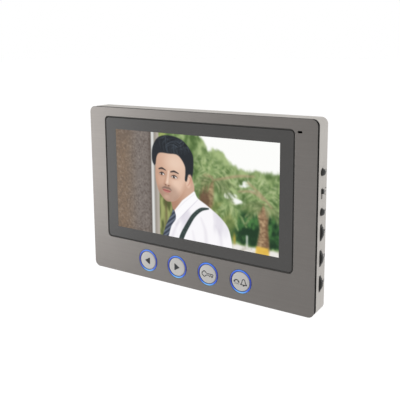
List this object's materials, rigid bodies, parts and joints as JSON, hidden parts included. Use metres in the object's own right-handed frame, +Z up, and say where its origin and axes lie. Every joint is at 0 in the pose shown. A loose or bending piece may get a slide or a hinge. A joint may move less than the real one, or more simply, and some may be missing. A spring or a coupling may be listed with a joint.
{
  "type": "video intercom monitor",
  "caption": "Flat wall-mounted video intercom monitor with a colour screen, a row of lit push buttons under it, side controls, and a steel wall bracket.",
  "frame": {"origin": "centre of the wall bracket's back face, where it meets the wall", "axes": "+Z up, +X to the right of a person facing the screen, +Y into the wall; the screen faces -Y"},
  "size_m": [0.2133, 0.0224, 0.1456],
  "materials": {
    "brushed_panel": "horizontally brushed, satin",
    "trim_black": "fine satin",
    "screen_glass": "polished, dark grey printed border",
    "case_silver": "silver-grey satin paint",
    "plain_steel": "tinned, satin",
    "display_glass": "polished",
    "diffuser_white": "milky",
    "flex_amber": "polyimide film",
    "cap_grey": "light grey satin",
    "ring_blue": "translucent, lit blue",
    "switch_black": "moulded",
    "plunger_pale": "moulded",
    "board_green": "solder mask",
    "control_black": "fine moulded texture",
    "seal_rubber": "soft matte",
    "cone_black": "film",
    "magnet_grey": "plated",
    "socket_ivory": "moulded nylon",
    "screw_steel": "zinc plated",
    "bracket_zinc": "galvanised sheet, dull"
  },
  "bodies": {
    "wall_bracket": {"wall_bracket": "bracket_zinc"},
    "monitor": {"front_panel": "brushed_panel", "front_trim": "trim_black", "screen_lens": "screen_glass", "front_housing": "case_silver", "rear_cover": "case_silver", "display_frame": "plain_steel", "slide_switch_body": "plain_steel", "speaker_frame": "plain_steel", "microphone_capsule": "plain_steel", "display_panel": "display_glass", "display_backlight": "diffuser_white", "display_flex_cable": "flex_amber", "light_ring_previous": "ring_blue", "light_ring_next": "ring_blue", "light_ring_unlock": "ring_blue", "light_ring_talk": "ring_blue", "key_switch_previous": "switch_black", "key_switch_next": "switch_black", "key_switch_unlock": "switch_black", "key_switch_talk": "switch_black", "side_switch_upper": "switch_black", "side_switch_lower": "switch_black", "potentiometer_upper": "switch_black", "potentiometer_middle": "switch_black", "potentiometer_lower": "switch_black", "power_socket": "switch_black", "main_board": "board_green", "key_board": "board_green", "side_board": "board_green", "microphone_boot": "seal_rubber", "speaker_gasket": "seal_rubber", "speaker_cone": "cone_black", "speaker_magnet": "magnet_grey", "door_station_socket_1": "socket_ivory", "door_station_socket_2": "socket_ivory", "case_screw_top": "screw_steel", "case_screw_bottom": "screw_steel", "case_screw_upper_left": "screw_steel", "case_screw_upper_right": "screw_steel", "case_screw_lower_left": "screw_steel", "case_screw_lower_right": "screw_steel", "main_board_screw_left": "screw_steel", "main_board_screw_right": "screw_steel"},
    "button_previous": {"button_cap_previous": "cap_grey", "key_plunger_previous": "plunger_pale"},
    "button_next": {"button_cap_next": "cap_grey", "key_plunger_next": "plunger_pale"},
    "button_unlock": {"button_cap_unlock": "cap_grey", "key_plunger_unlock": "plunger_pale"},
    "button_talk": {"button_cap_talk": "cap_grey", "key_plunger_talk": "plunger_pale"},
    "side_button_upper": {"side_button_upper": "control_black", "side_plunger_upper": "plunger_pale"},
    "side_button_lower": {"side_button_lower": "control_black", "side_plunger_lower": "plunger_pale"},
    "slide_switch": {"slide_switch_lever": "control_black"},
    "thumbwheel_upper": {"thumbwheel_upper": "control_black"},
    "thumbwheel_middle": {"thumbwheel_middle": "control_black"},
    "thumbwheel_lower": {"thumbwheel_lower": "control_black"}
  },
  "joints": [
    {"name": "monitor_lift", "type": "slide", "parent": "wall_bracket", "child": "monitor", "axis": [0, 0, 1], "range_m": [0, 0.006]},
    {"name": "button_previous_press", "type": "slide", "parent": "monitor", "child": "button_previous", "axis": [0, 1, 0], "range_m": [0, 0.0006], "stiffness_N_per_m": 900, "springref_m": -0.0004},
    {"name": "button_next_press", "type": "slide", "parent": "monitor", "child": "button_next", "axis": [0, 1, 0], "range_m": [0, 0.0006], "stiffness_N_per_m": 900, "springref_m": -0.0004},
    {"name": "button_unlock_press", "type": "slide", "parent": "monitor", "child": "button_unlock", "axis": [0, 1, 0], "range_m": [0, 0.0006], "stiffness_N_per_m": 900, "springref_m": -0.0004},
    {"name": "button_talk_press", "type": "slide", "parent": "monitor", "child": "button_talk", "axis": [0, 1, 0], "range_m": [0, 0.0006], "stiffness_N_per_m": 900, "springref_m": -0.0004},
    {"name": "side_button_upper_press", "type": "slide", "parent": "monitor", "child": "side_button_upper", "axis": [-1, 0, 0], "range_m": [0, 0.0007], "stiffness_N_per_m": 900, "springref_m": -0.0004},
    {"name": "side_button_lower_press", "type": "slide", "parent": "monitor", "child": "side_button_lower", "axis": [-1, 0, 0], "range_m": [0, 0.0007], "stiffness_N_per_m": 900, "springref_m": -0.0004},
    {"name": "slide_switch_move", "type": "slide", "parent": "monitor", "child": "slide_switch", "axis": [0, 0, -1], "range_m": [0, 0.0036]},
    {"name": "thumbwheel_upper_turn", "type": "hinge", "parent": "monitor", "child": "thumbwheel_upper", "pos_m": [0.0993, -0.0116, -0.01045], "axis": [0, -1, 0], "range_deg": [-140, 140]},
    {"name": "thumbwheel_middle_turn", "type": "hinge", "parent": "monitor", "child": "thumbwheel_middle", "pos_m": [0.0993, -0.0116, -0.02985], "axis": [0, -1, 0], "range_deg": [-140, 140]},
    {"name": "thumbwheel_lower_turn", "type": "hinge", "parent": "monitor", "child": "thumbwheel_lower", "pos_m": [0.0993, -0.0116, -0.04925], "axis": [0, -1, 0], "range_deg": [-140, 140]}
  ]
}
